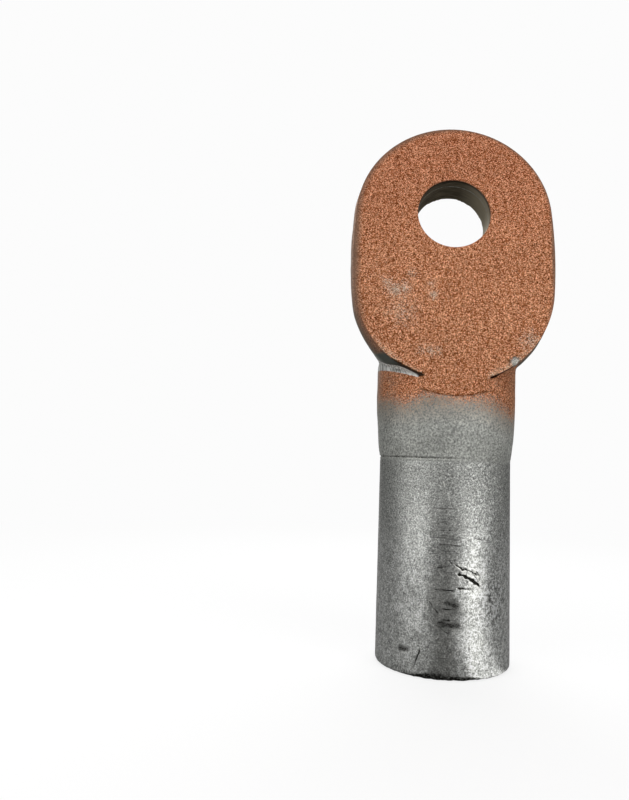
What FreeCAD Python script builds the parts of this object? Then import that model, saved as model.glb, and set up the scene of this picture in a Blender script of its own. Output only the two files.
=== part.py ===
"""Compression terminal clamp for an aluminium conductor, with a one-hole palm.

A round barrel takes the conductor and is pressed on it. The neck joins it to a
flat palm, which is bolted to a terminal plate. The palm leans back by a few
degrees, so that the barrel stands clear of that plate. Its contact face is
milled flat, down to a run-out in the neck's crown, and sprayed with copper.

Frame: the clamp stands on the sawn end of its barrel. The origin is on the
barrel's axis at that end, +Z runs up the barrel to the palm's tip, -Y is the
contact side and +Y is the marking side. All lengths are in millimetres.
"""
import FreeCAD
import Part
import math
import os

from FreeCAD import Placement, Rotation, Vector

# Barrel, from its sawn end to the ring mark
barrel_diameter = 25.0
barrel_length = 37.7
end_rounding = 0.6

# Blind bore for the conductor
bore_diameter = 12.5
bore_depth = 40.0
bore_point_angle = 118.0
bore_chamfer = 0.5

# Turned mark round the barrel that shows how far it may be pressed
mark_width = 0.8
mark_depth = 0.35

# Neck, which swells out of the barrel towards the palm
neck_length = 13.3
neck_flare_length = 12.0
neck_side_swell = 0.95
neck_crown_swell = 0.4
neck_head_drop = 1.5
first_swell = 0.1
flare_steps = 4

# Palm, measured on its parting line and from its lowest point up its length
palm_tilt = 6.0
palm_thickness = 8.0
palm_length = 52.1
palm_width = 39.2
palm_side_bow = 0.3
palm_draft = 3.0
contact_edge_inset = 0.56
marking_edge_radius = 1.4

# Bolt hole through the palm
hole_diameter = 14.0
hole_to_tip = 18.5

# Shoulder from the palm's marking face up to the neck's crown
fold_height = 8.5
shoulder_angle = 30.0
fold_radius = 2.0
shoulder_edge_radius = 2.0
shoulder_wall = 10.0

# Milled contact face and its run-out in the neck's crown
milled_depth = 1.14
runout_length = 2.2
runout_radius = 16.0
runout_width = 14.0

# Sprayed copper on the milled face
coating_thickness = 0.3

# Sizes that follow from the ones above
barrel_radius = barrel_diameter / 2
neck_half_width = barrel_radius + neck_side_swell
neck_half_depth = barrel_radius + neck_crown_swell
palm_end_radius = palm_width / 2 - palm_side_bow
palm_foot_height = barrel_length + neck_length
contact_offset = neck_half_depth - milled_depth
parting_depth = palm_thickness / 2
reach = palm_length + palm_width + neck_length

# The palm's own frame: x across it, y up its length, z out of the contact face
palm_place = Placement(
    Vector(0, -contact_offset, palm_foot_height),
    Rotation(Vector(1, 0, 0), 90 - palm_tilt),
)


def palm_point(along, depth):
    """Point on the palm's middle plane, at a depth behind the contact face."""
    return palm_place.multVec(Vector(0, along, -depth))


def palm_outline(inset, depth):
    """Closed outline of the palm in its own frame: two round ends and two slightly bowed sides."""
    low_centre = palm_end_radius
    high_centre = palm_length - palm_end_radius
    middle = palm_length / 2
    half_gap = (high_centre - low_centre) / 2
    side_radius = (half_gap ** 2 + palm_width ** 2 / 4 - palm_end_radius ** 2) / (2 * palm_side_bow)
    side_centre = side_radius - palm_width / 2
    turn = math.atan2(half_gap, side_centre)

    end_radius = palm_end_radius - inset
    level = -depth
    join_x = end_radius * math.cos(turn)
    join_y = end_radius * math.sin(turn)
    half_width = palm_width / 2 - inset

    top_right = Vector(join_x, high_centre + join_y, level)
    top_left = Vector(-join_x, high_centre + join_y, level)
    low_right = Vector(join_x, low_centre - join_y, level)
    low_left = Vector(-join_x, low_centre - join_y, level)
    tip = Vector(0, high_centre + end_radius, level)
    foot = Vector(0, low_centre - end_radius, level)
    edges = [
        Part.Arc(top_right, tip, top_left).toShape(),
        Part.Arc(top_left, Vector(-half_width, middle, level), low_left).toShape(),
        Part.Arc(low_left, foot, low_right).toShape(),
        Part.Arc(low_right, Vector(half_width, middle, level), top_right).toShape(),
    ]
    return Part.Wire(edges)


def drafted(inset_a, depth_a, inset_b, depth_b):
    """Solid between two outlines of the palm at two depths."""
    wires = [palm_outline(inset_a, depth_a), palm_outline(inset_b, depth_b)]
    return Part.makeLoft(wires, True, True)


def rounded_corner(before, corner, after, radius):
    """Start, middle and end of the arc that rounds a corner between two straight lines."""
    back = (before - corner).normalize()
    ahead = (after - corner).normalize()
    half = back.getAngle(ahead) / 2
    tangent = radius / math.tan(half)
    bisector = (back + ahead).normalize()
    centre = corner + bisector * (radius / math.sin(half))
    return corner + back * tangent, centre - bisector * radius, corner + ahead * tangent


def marking_side_cutter():
    """Everything outside the palm's marking face, the fold and the shoulder, as seen from the side."""
    fold = palm_point(fold_height, palm_thickness)
    above = palm_point(fold_height + reach, palm_thickness)
    slope = math.radians(shoulder_angle)
    beyond = fold + Vector(0, math.cos(slope), -math.sin(slope)) * reach
    corner = Vector(0, beyond.y + reach, above.z)
    low_corner = Vector(0, beyond.y + reach, beyond.z)
    start, middle, end = rounded_corner(above, fold, beyond, fold_radius)
    edges = [
        Part.makeLine(above, start),
        Part.Arc(start, middle, end).toShape(),
        Part.makeLine(end, beyond),
        Part.makeLine(beyond, low_corner),
        Part.makeLine(low_corner, corner),
        Part.makeLine(corner, above),
    ]
    face = Part.Face(Part.Wire(edges))
    face.translate(Vector(-reach, 0, 0))
    return face.extrude(Vector(2 * reach, 0, 0))


def rim_edges(shape, faces):
    """Edges that bound a group of faces and lie between no two of them."""
    counts = {}
    for face in faces:
        for edge in face.Edges:
            counts[edge.hashCode()] = counts.get(edge.hashCode(), 0) + 1
    return [edge for edge in shape.Edges if counts.get(edge.hashCode()) == 1]


def cut_faces(shape, cutter):
    """Flat and rolled faces of a shape that the cutter left on it."""
    found = []
    for face in shape.Faces:
        low_u, high_u, low_v, high_v = face.ParameterRange
        middle = face.valueAt((low_u + high_u) / 2, (low_v + high_v) / 2)
        plain = isinstance(face.Surface, (Part.Plane, Part.Cylinder))
        if plain and cutter.isInside(middle, 1e-4, True):
            found.append(face)
    return found


def curved_rim(shape, cutter):
    """Rim that the cutter left on a shape, without the straight edge where the shape just ends."""
    rim = rim_edges(shape, cut_faces(shape, cutter))
    return [edge for edge in rim if not isinstance(edge.Curve, Part.Line)]


def palm_forging(cutter):
    """Palm with draft to both sides of its parting line, and the wall of its shoulder."""
    wall_depth = palm_thickness + shoulder_wall
    slant = math.tan(math.radians(palm_draft))
    front = drafted(contact_edge_inset, 0, 0, parting_depth)
    back = drafted(0, parting_depth, slant * (wall_depth - parting_depth), wall_depth)
    blank = front.fuse(back)
    blank.Placement = palm_place
    formed = blank.cut(cutter)
    return formed.makeFillet(marking_edge_radius, curved_rim(formed, cutter))


def neck_section(share):
    """Section of the neck at a share of its flare, where 0 is the barrel and 1 the full neck."""
    swell = math.sin(math.pi / 2 * (first_swell + (1 - first_swell) * share))
    ellipse = Part.Ellipse(
        Vector(0, 0, barrel_length + neck_flare_length * share),
        barrel_radius + neck_side_swell * swell,
        barrel_radius + neck_crown_swell * swell,
    )
    return Part.Wire(ellipse.toShape())


def neck_forging(cutter):
    """Neck that swells out of the barrel and is cut off by the shoulder."""
    top = palm_point(fold_height, palm_thickness).z - neck_head_drop
    sections = [neck_section(step / flare_steps) for step in range(flare_steps + 1)]
    flare = Part.makeLoft(sections, True, False)
    head = Part.Face(neck_section(1))
    head = head.extrude(Vector(0, 0, top - barrel_length - neck_flare_length))
    formed = flare.fuse(head).cut(cutter)
    return formed.makeFillet(shoulder_edge_radius, curved_rim(formed, cutter))


def barrel_bar():
    """Round barrel with a slightly rounded sawn end."""
    bar = Part.makeCylinder(barrel_radius, barrel_length)
    sawn = [edge for edge in bar.Edges if edge.BoundBox.ZMax < 0.01]
    return bar.makeFillet(end_rounding, sawn)


def ring_mark():
    """V-shaped groove, turned where the barrel meets the neck."""
    outside = barrel_radius + neck_side_swell
    profile = Part.makePolygon([
        Vector(outside, 0, barrel_length - mark_width),
        Vector(barrel_radius, 0, barrel_length - mark_width / 2),
        Vector(barrel_radius - mark_depth, 0, barrel_length),
        Vector(barrel_radius, 0, barrel_length + mark_width / 2),
        Vector(outside, 0, barrel_length + mark_width),
        Vector(outside, 0, barrel_length - mark_width),
    ])
    return Part.Face(profile).revolve(Vector(0, 0, 0), Vector(0, 0, 1), 360)


def conductor_bore():
    """Drilled blind bore with a chamfered mouth and a drill point at its end."""
    radius = bore_diameter / 2
    point = radius / math.tan(math.radians(bore_point_angle / 2))
    profile = Part.makePolygon([
        Vector(0, 0, -1),
        Vector(radius + bore_chamfer, 0, -1),
        Vector(radius + bore_chamfer, 0, 0),
        Vector(radius, 0, bore_chamfer),
        Vector(radius, 0, bore_depth),
        Vector(0, 0, bore_depth + point),
        Vector(0, 0, -1),
    ])
    return Part.Face(profile).revolve(Vector(0, 0, 0), Vector(0, 0, 1), 360)


def milled_space(depth, height):
    """Space swept by the mill over the contact side, from a depth up, with its round run-out."""
    half = runout_width / 2
    rise = runout_radius - math.sqrt(runout_radius ** 2 - half ** 2)
    low_left = Vector(-half, -runout_length + rise, -depth)
    low_right = Vector(half, -runout_length + rise, -depth)
    edges = [
        Part.Arc(low_left, Vector(0, -runout_length, -depth), low_right).toShape(),
        Part.makeLine(low_right, Vector(reach, low_right.y, -depth)),
        Part.makeLine(Vector(reach, low_right.y, -depth), Vector(reach, reach, -depth)),
        Part.makeLine(Vector(reach, reach, -depth), Vector(-reach, reach, -depth)),
        Part.makeLine(Vector(-reach, reach, -depth), Vector(-reach, low_left.y, -depth)),
        Part.makeLine(Vector(-reach, low_left.y, -depth), low_left),
    ]
    space = Part.Face(Part.Wire(edges)).extrude(Vector(0, 0, height))
    space.Placement = palm_place
    return space


def bolt_hole():
    """Drill through the palm, square to the contact face."""
    drill = Part.makeCylinder(
        hole_diameter / 2, 4 * palm_thickness,
        Vector(0, palm_length - hole_to_tip, -3 * palm_thickness),
    )
    drill.Placement = palm_place
    return drill


def build():
    """The two solids of the clamp: the forged body and the sprayed copper on its contact face."""
    cutter = marking_side_cutter()
    forging = palm_forging(cutter).fuse([neck_forging(cutter), barrel_bar()])
    forging = forging.cut([ring_mark(), conductor_bore(), bolt_hole()]).removeSplitter()
    body = forging.cut(milled_space(coating_thickness, reach))
    coating = forging.common(milled_space(coating_thickness, coating_thickness))
    return {"clamp_body": body, "copper_coating": coating}


def main():
    """Write one STEP file for each node."""
    os.makedirs("parts", exist_ok=True)
    for name, shape in build().items():
        solid = shape.Solids[0]
        box = solid.BoundBox
        print(name, "solids", len(shape.Solids), "valid", solid.isValid(), "volume", round(solid.Volume, 1))
        print("  x", round(box.XMin, 2), round(box.XMax, 2), "y", round(box.YMin, 2), round(box.YMax, 2),
              "z", round(box.ZMin, 2), round(box.ZMax, 2))
        solid.exportStep(os.path.join("parts", name + ".step"))


main()
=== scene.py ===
"""Looks of an equipment terminal clamp, standing on a pale studio floor.

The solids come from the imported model. This script dresses them: the forging gets its blasted
skin, its turned ring mark, the cuts and dents of its barrel and the burr of its sawn end, and
the milled contact face gets its sprayed copper.

The frame is in metres, with +Z up the barrel and -Y out of the contact side. Sizes in the
classes are in millimetres and angles in degrees, unless a name says otherwise.
"""
import logging
import math
from collections.abc import Iterable
from dataclasses import dataclass, field
from enum import Enum
from typing import Any, NamedTuple

import bpy
import numpy as np
from mathutils import Matrix, Vector


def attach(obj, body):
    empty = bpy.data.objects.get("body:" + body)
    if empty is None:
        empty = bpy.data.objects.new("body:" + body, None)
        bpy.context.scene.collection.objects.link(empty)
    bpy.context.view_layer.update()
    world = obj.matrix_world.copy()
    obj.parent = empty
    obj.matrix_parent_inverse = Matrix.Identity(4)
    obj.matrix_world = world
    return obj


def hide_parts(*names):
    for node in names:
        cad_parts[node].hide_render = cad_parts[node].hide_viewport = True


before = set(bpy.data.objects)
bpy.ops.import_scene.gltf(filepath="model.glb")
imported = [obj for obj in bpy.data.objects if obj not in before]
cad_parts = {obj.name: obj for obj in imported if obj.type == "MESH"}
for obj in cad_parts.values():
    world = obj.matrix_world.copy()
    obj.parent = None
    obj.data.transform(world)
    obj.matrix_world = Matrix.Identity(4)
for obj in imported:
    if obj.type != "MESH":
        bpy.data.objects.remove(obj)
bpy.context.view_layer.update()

MM = 0.001
log = logging.getLogger("terminal_clamp")


def linear(code: str) -> tuple[float, float, float, float]:
    """Turn an sRGB hex colour into the linear colour that a shader takes.

    Args:
        code: Six hex digits after a number sign.

    Returns:
        Red, green, blue and full alpha.
    """
    parts = [int(code[i:i + 2], 16) / 255 for i in (1, 3, 5)]
    red, green, blue = (c / 12.92 if c <= 0.04045 else ((c + 0.055) / 1.055) ** 2.4 for c in parts)
    return red, green, blue, 1.0


def only(piece: bpy.types.Object) -> None:
    """Make one object the selected and active one.

    Args:
        piece: The object.
    """
    bpy.ops.object.select_all(action="DESELECT")
    piece.select_set(True)
    bpy.context.view_layer.objects.active = piece


def finish_modifier(piece: bpy.types.Object, kind: str, settings: dict[str, Any]) -> None:
    """Add a modifier to a piece and apply it.

    Args:
        piece: The object to work on.
        kind: Blender's name of the modifier.
        settings: The modifier's settings by name.
    """
    only(piece)
    made = piece.modifiers.new(kind.lower(), kind)
    for name, value in settings.items():
        setattr(made, name, value)
    bpy.ops.object.modifier_apply(modifier=made.name)


def places(parts: bpy.types.bpy_prop_collection, place: str = "co") -> np.ndarray:
    """Give the places of a mesh's vertices, or of its faces by their center, in millimetres.

    Args:
        parts: The mesh's vertices or faces.
        place: Blender's name of their place.

    Returns:
        One row a vertex or face.
    """
    flat = np.empty(len(parts) * 3)
    parts.foreach_get(place, flat)
    return flat.reshape(-1, 3) / MM


def weigh(piece: bpy.types.Object, name: str, weights: np.ndarray) -> str:
    """Store weights of vertices as a vertex group.

    Args:
        piece: The object that gets the group.
        name: The group's name.
        weights: One weight a vertex, from 0 to 1.

    Returns:
        The group's name.
    """
    steps = 60
    levels = np.rint(np.clip(weights, 0, 1) * steps).astype(int)
    group = piece.vertex_groups.new(name=name)
    for level in np.unique(levels):
        if level > 0:
            group.add(np.nonzero(levels == level)[0].tolist(), level / steps, "REPLACE")
    return group.name


def subdivide_where(piece: bpy.types.Object, chosen: np.ndarray) -> None:
    """Split the chosen faces of a piece once.

    Args:
        piece: The object to refine.
        chosen: True for each face to split.
    """
    only(piece)
    piece.data.vertices.foreach_set("select", np.zeros(len(piece.data.vertices), bool))
    piece.data.edges.foreach_set("select", np.zeros(len(piece.data.edges), bool))
    piece.data.polygons.foreach_set("select", chosen.astype(bool))
    bpy.ops.object.mode_set(mode="EDIT")
    bpy.ops.mesh.select_mode(type="FACE")
    bpy.ops.mesh.subdivide(number_cuts=1)
    bpy.ops.object.mode_set(mode="OBJECT")


def rise(values: np.ndarray, low: float, high: float) -> np.ndarray:
    """Go smoothly from 0 at one value to 1 at another.

    Args:
        values: The values.
        low: Where it is 0.
        high: Where it is 1.

    Returns:
        The shares.
    """
    share = np.clip((values - low) / (high - low), 0, 1)
    return share * share * (3 - 2 * share)


def wobble(across: np.ndarray, heights: np.ndarray, grain: float, seed: int) -> np.ndarray:
    """Give smooth noise from -1 to 1 over the barrel's skin.

    Args:
        across: How far places lie round the skin.
        heights: Heights of the places.
        grain: Size of the noise's lumps.
        seed: Number that picks the noise.

    Returns:
        The noise at each place.
    """
    count = 61
    lattice = np.random.default_rng(seed).uniform(-1, 1, (count, count))
    u, v = across / grain, heights / grain
    i, j = np.floor(u).astype(int), np.floor(v).astype(int)
    right, up = rise(u - i, 0, 1), rise(v - j, 0, 1)
    low, high = (
        lattice[i % count, row] * (1 - right) + lattice[(i + 1) % count, row] * right
        for row in (j % count, (j + 1) % count)
    )
    return low * (1 - up) + high * up


def clouds(name: str, grain: float) -> bpy.types.Texture:
    """Make a soft noise for a Displace modifier, with its grain in millimetres.

    Args:
        name: The noise's name.
        grain: Size of its lumps.

    Returns:
        The noise.
    """
    texture = bpy.data.textures.new(name, "CLOUDS")
    texture.noise_scale = grain * MM
    texture.noise_depth = 2
    return texture


@dataclass(frozen=True)
class PalmPlane:
    """The plane of the palm's contact face, which leans back from the barrel's axis."""

    offset: float = 11.76
    foot: float = 51.0
    tilt: float = 6.0
    end_centre: float = 19.3
    hole_centre: float = 33.6
    hole_radius: float = 7.0
    cutter_centre: float = 13.8

    @property
    def up(self) -> Vector:
        """Give the direction up the palm."""
        return Vector((0, math.sin(math.radians(self.tilt)), math.cos(math.radians(self.tilt))))

    @property
    def inward(self) -> Vector:
        """Give the direction from the contact face into the metal."""
        return Vector((0, math.cos(math.radians(self.tilt)), -math.sin(math.radians(self.tilt))))

    @property
    def root(self) -> Vector:
        """Give the palm's lowest point on its contact face."""
        return Vector((0, -self.offset, self.foot))

    def depth(self, points: np.ndarray) -> np.ndarray:
        """Give how far points lie behind the contact face."""
        return (points - np.array(self.root)) @ np.array(self.inward)

    def along(self, points: np.ndarray) -> np.ndarray:
        """Give how far points lie up the palm from its lowest point."""
        return (points - np.array(self.root)) @ np.array(self.up)


PALM = PalmPlane()


class Wear(Enum):
    """What made a mark in the skin: how far its path sways, and the share of its depth in the mesh.

    Thin cuts leave most of their depth to the dark drawn in them, which is grime and painted shade
    of that depth.
    """

    TEAR = (0.22, 0.7)
    CUT = (0.1, 0.3)
    DENT = (0.14, 0.25)
    RUB = (0.15, 0.5)

    def __init__(self, sway: float, pressed: float) -> None:
        """Keep the two numbers of a kind of wear by name."""
        self.sway = sway
        self.pressed = pressed


@dataclass(frozen=True)
class Mark:
    """A mark along a path of angles from the contact side and heights."""

    wear: Wear
    path: tuple[tuple[float, float], ...]
    width: float
    depth: float

    def closeness(
        self, angles: np.ndarray, heights: np.ndarray, radius: float,
    ) -> tuple[np.ndarray, np.ndarray]:
        """Measure how near places on the barrel are to this mark's path.

        Args:
            angles: Angles of the places, in degrees.
            heights: Heights of the places.
            radius: The barrel's radius.

        Returns:
            The distance of each place from the path, and its share of the path's length.
        """
        far_off, margin = 99.0, 3
        across = np.radians(angles) * radius
        corners = np.array([(math.radians(a) * radius, z) for a, z in self.path])
        lengths = np.hypot(*np.diff(corners, axis=0).T)
        (left, low), (right, high) = corners.min(axis=0) - margin, corners.max(axis=0) + margin
        near = (across > left) & (across < right) & (heights > low) & (heights < high)
        x, z = across[near], heights[near]
        sway = self.wear.sway
        x, z = x + sway * wobble(x, z, 0.7, 1), z + sway * wobble(x, z, 0.55, 2)
        best, best_share = np.full(x.shape, far_off), np.zeros(x.shape)
        for i, length in enumerate(lengths):
            run = (corners[i + 1] - corners[i]) / length
            off_x, off_z = x - corners[i][0], z - corners[i][1]
            t = np.clip(off_x * run[0] + off_z * run[1], 0, length)
            gap = np.hypot(off_x - t * run[0], off_z - t * run[1])
            nearer = gap < best
            best = np.where(nearer, gap, best)
            best_share = np.where(nearer, (lengths[:i].sum() + t) / lengths.sum(), best_share)
        gaps, shares = np.full(across.shape, far_off), np.zeros(across.shape)
        gaps[near] = best * (1 + 0.35 * wobble(x, z, 0.6, 3))
        shares[near] = best_share
        return gaps, shares

    def taper(self, share: np.ndarray, least: float) -> np.ndarray:
        """Give how a mark thins towards its ends, from its share of the path's length.

        Args:
            share: Share of the path's length at each place.
            least: How full the mark still is at its ends.

        Returns:
            How full it is, up to 1.
        """
        if self.wear is Wear.DENT:
            return np.ones(share.shape)
        return np.clip(5 * np.minimum(share, 1 - share) + least, 0, 1)

    def dirt_and_shade(self, angles: np.ndarray, heights: np.ndarray, radius: float) -> np.ndarray:
        """Give how dark this mark is drawn at places on the barrel, from 0 to 1: grime and painted
        shade.

        Args:
            angles: Angles of the places, in degrees.
            heights: Heights of the places.
            radius: The barrel's radius.

        Returns:
            How dark each place is drawn.
        """
        gap, share = self.closeness(angles, heights, radius)
        taper = self.taper(share, 0.3)
        half = self.width / 2 * (0.5 + taper / 2)
        return (1 - rise(gap, 0.45 * half, 1.15 * half)) * taper

    def profile(self, angles: np.ndarray, heights: np.ndarray, radius: float) -> np.ndarray:
        """Give this mark's depth at places on the barrel, as a share of its full depth.

        Args:
            angles: Angles of the places, in degrees.
            heights: Heights of the places.
            radius: The barrel's radius.

        Returns:
            The share of its depth at each place.
        """
        gap, share = self.closeness(angles, heights, radius)
        taper = self.taper(share, 0.25)
        return np.clip(1 - (gap / (self.width / 2 * (0.5 + taper / 2))) ** 2, 0, 1) * taper


@dataclass
class ForgedBody:
    """The forging with its neck and barrel, in one piece of blasted aluminium."""

    barrel_radius: float = 12.5
    barrel_top: float = 39.0
    collar_radius: float = 12.62
    collar_height: float = 0.6
    bore_clear: float = 9.0
    skin: float = 11.0
    milled_foot: float = 47.5
    hole_low: float = 60.0
    crisp_face: float = 0.75
    crisp_rim: float = 0.7
    crisp_end: float = 1.2
    smoothing: int = 14
    ring_height: float = 37.7
    ring_half_width: float = 0.22
    ring_depth: float = 0.2
    second_ring: float = 0.62
    second_half_width: float = 0.16
    lip_height: float = 0.06
    grid: float = 0.3
    most_triangles: int = 190000
    # Each of these waves is by its height from low to high, and by the size of its lumps
    forging_waves: tuple[float, float] = (0.22, 5.0)
    handling_waves: tuple[float, float] = (0.05, 4.0)
    burr_waves: tuple[float, float] = (0.3, 1.3)
    knock_depth: float = 0.1
    # A knock is by its angle from the contact side, its height and its radius
    knocks: tuple[tuple[float, float, float], ...] = (
        (14, 17.2, 4.6), (12, 7.5, 3.4), (-3, 10.5, 3.2), (20, 24.5, 3.0), (-38, 12.0, 4.0),
    )
    marks: tuple[Mark, ...] = (
        Mark(Wear.TEAR, ((0.2, 19.45), (7.5, 18.7), (13.5, 18.35), (22.9, 17.6)), 0.32, 0.22),
        Mark(Wear.TEAR, ((14.7, 18.48), (19.1, 18.3), (23.8, 17.33)), 0.28, 0.14),
        Mark(Wear.TEAR, ((2.7, 17.87), (9.7, 17.39), (16.5, 16.62), (23.9, 15.64)), 0.48, 0.34),
        Mark(Wear.TEAR, ((19.9, 16.14), (23.0, 15.7), (24.9, 15.83)), 0.2, 0.1),
        Mark(Wear.CUT, ((-3.4, 20.19), (-0.6, 19.45)), 0.24, 0.1),
        Mark(Wear.CUT, ((15.6, 18.23), (22.0, 16.5)), 0.22, 0.1),
        Mark(Wear.CUT, ((2.4, 15.51), (15.7, 15.27)), 0.42, 0.22),
        Mark(Wear.CUT, ((-14.9, 15.05), (1.7, 15.0)), 0.28, 0.12),
        Mark(Wear.CUT, ((-19.6, 13.2), (-10.6, 10.95)), 0.26, 0.12),
        Mark(Wear.DENT, ((-5.5, 12.95), (2.6, 12.5)), 1.5, 0.16),
        Mark(Wear.CUT, ((-9.9, 11.87), (3.5, 11.92)), 0.3, 0.12),
        Mark(Wear.CUT, ((-8.6, 10.06), (-2.0, 10.06)), 0.42, 0.14),
        Mark(Wear.DENT, ((-9.7, 9.5), (3.4, 9.1)), 1.3, 0.22),
        Mark(Wear.CUT, ((-12.9, 9.33), (-4.2, 7.89), (2.9, 8.44)), 0.26, 0.12),
        Mark(Wear.CUT, ((-18.5, 10.38), (-9.7, 8.56)), 0.26, 0.1),
        Mark(Wear.DENT, ((-43.4, 4.3), (-37.6, 4.35)), 1.7, 0.1),
        Mark(Wear.CUT, ((-25.4, 4.95), (-28.1, 3.12), (-31.4, 1.09)), 0.34, 0.2),
        Mark(Wear.CUT, ((-77.5, 5.95), (-64.2, 5.6)), 0.3, 0.12),
        Mark(Wear.RUB, ((-11.2, 18.23), (-6.8, 17.03)), 0.3, 0.03),
        Mark(Wear.CUT, ((13.6, 5.88), (13.3, 4.73), (21.7, 4.14)), 0.25, 0.1),
        Mark(Wear.RUB, ((50.8, 6.0), (50.9, 3.61)), 0.4, 0.04),
        Mark(Wear.CUT, ((-17.5, 28.86), (-4.8, 28.98), (1.6, 28.77)), 0.32, 0.08),
        Mark(Wear.CUT, ((-14.1, 25.69), (-3.0, 25.47)), 0.26, 0.08),
        Mark(Wear.CUT, ((-4.6, 25.2), (2.6, 25.08)), 0.34, 0.1),
        Mark(Wear.CUT, ((-12.4, 23.83), (1.9, 23.83)), 0.26, 0.08),
        Mark(Wear.CUT, ((-2.8, 22.74), (6.1, 22.54)), 0.32, 0.1),
        Mark(Wear.CUT, ((-12.8, 18.89), (-8.1, 18.7)), 0.3, 0.1),
        Mark(Wear.CUT, ((15.3, 24.02), (32.9, 23.43)), 0.22, 0.08),
        Mark(Wear.CUT, ((22.6, 23.32), (36.4, 22.7)), 0.2, 0.06),
        Mark(Wear.CUT, ((20.6, 24.7), (30.6, 24.49)), 0.18, 0.05),
        Mark(Wear.CUT, ((31.6, 4.1), (42.3, 4.28), (39.8, 2.69)), 0.3, 0.06),
        Mark(Wear.CUT, ((-16.9, 19.67), (-10.3, 17.57)), 0.2, 0.05),
        Mark(Wear.CUT, ((-10.1, 3.69), (2.4, 3.83)), 0.3, 0.08),
        Mark(Wear.RUB, ((-8.3, 33.72), (-7.5, 32.51)), 0.4, 0.04),
        Mark(Wear.RUB, ((-4.2, 31.49), (-3.3, 30.12)), 0.35, 0.03),
    )
    piece: bpy.types.Object | None = field(default=None, init=False)

    def round_barrel(self) -> tuple[np.ndarray, np.ndarray, np.ndarray]:
        """Give angle from the contact side, height and radius of each vertex.

        Returns:
            Three values for each vertex, angles in degrees.
        """
        spots = places(self.piece.data.vertices)
        angle = np.degrees(np.arctan2(spots[:, 0], -spots[:, 1]))
        return angle, spots[:, 2], np.hypot(spots[:, 0], spots[:, 1])

    def smooth(self, name: str, weights: np.ndarray, times: int) -> None:
        """Smooth the weighted vertices a number of times.

        Args:
            name: Name of the vertex group.
            weights: Which vertices are smoothed.
            times: How many times they are.
        """
        group = weigh(self.piece, name, weights.astype(float))
        settings = {"factor": 0.5, "iterations": times, "vertex_group": group}
        finish_modifier(self.piece, "SMOOTH", settings)

    def push(self, name: str, weights: np.ndarray, far: float, grain: float = 0.0) -> None:
        """Push the skin out along its normals, evenly or by a soft noise.

        Args:
            name: Name of the vertex group and of the noise.
            weights: How much of the push each vertex gets, from 0 to 1.
            far: Length of the push, which for a noise is from its lows to its highs.
            grain: Size of the noise's lumps, or 0 for an even push.
        """
        settings = {"strength": far * MM, "vertex_group": weigh(self.piece, name, weights)}
        if grain:
            settings |= {"texture": clouds(name, grain), "texture_coords": "LOCAL"}
        settings["mid_level"] = 0.5 if grain else 0.0
        finish_modifier(self.piece, "DISPLACE", settings)

    def copy_forging(self, source: bpy.types.Object) -> None:
        """Copy the solid, close its mesh and turn it into an even grid of small faces.

        Args:
            source: The forging's solid.
        """
        mesh = source.data.copy()
        mesh.materials.clear()
        self.piece = bpy.data.objects.new("forged_body", mesh)
        bpy.context.scene.collection.objects.link(self.piece)
        only(self.piece)
        bpy.ops.object.mode_set(mode="EDIT")
        bpy.ops.mesh.select_all(action="SELECT")
        bpy.ops.mesh.remove_doubles(threshold=1e-6)
        bpy.ops.object.mode_set(mode="OBJECT")
        finish_modifier(self.piece, "REMESH", {"mode": "VOXEL", "voxel_size": self.grid * MM})

    def smooth_forging(self) -> None:
        """Smooth the facets away, but keep the milled and drilled edges crisp."""
        spots = places(self.piece.data.vertices)
        depth, along = PALM.depth(spots), PALM.along(spots)
        from_hole = np.abs(np.hypot(spots[:, 0], along - PALM.hole_centre) - PALM.hole_radius)
        crisp = (spots[:, 2] > self.milled_foot) & (depth < self.crisp_face)
        crisp |= (spots[:, 2] > self.hole_low) & (from_hole < self.crisp_rim)
        crisp |= spots[:, 2] < self.crisp_end
        self.smooth("soft", ~crisp, self.smoothing)
        _, height, radius = self.round_barrel()
        outside = radius > self.bore_clear
        step = self.ring_height + 0.05
        collar_top = step + self.collar_height
        for name, low, high, size in (
            ("bar", 1.0, step, self.barrel_radius),
            ("collar", step, collar_top, self.collar_radius),
        ):
            chosen = outside & (height > low) & (height <= high)
            group = weigh(self.piece, name, chosen.astype(float))
            cast = {"cast_type": "CYLINDER", "factor": 1.0, "radius": size * MM, "size": 0.0,
                    "use_radius_as_size": True, "use_z": False, "vertex_group": group}
            finish_modifier(self.piece, "CAST", cast)
        near_step = (height > step - 0.85) & (height < step + 1.45)
        self.smooth("step", near_step & outside, 8)

    def wave_surface(self) -> None:
        """Give the skin the shallow waves of a forging, and the barrel its broad knocks."""
        depth = PALM.depth(places(self.piece.data.vertices))
        angle, height, radius = self.round_barrel()
        bar = radius > self.bore_clear
        off_face = np.where(height > self.milled_foot, rise(depth, 0.9, 2.2), 1.0)
        above_bore = bar | (height > self.milled_foot - 0.5)
        head = rise(height, 38.0, 41.0) * off_face * above_bore
        self.push("forging_waves", head, *self.forging_waves)
        below_ring = rise(height, 0.0, 1.5) * (1 - rise(height, 36.5, 37.3))
        self.push("handling_waves", below_ring * bar, *self.handling_waves)
        knocked = np.zeros(len(angle))
        for turn, level, size in self.knocks:
            gap = np.hypot(np.radians(angle - turn) * self.barrel_radius, height - level)
            knocked = np.maximum(knocked, np.clip(1 - (gap / size) ** 2, 0, 1) ** 2)
        self.push("knocks", knocked * bar, -self.knock_depth)

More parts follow.
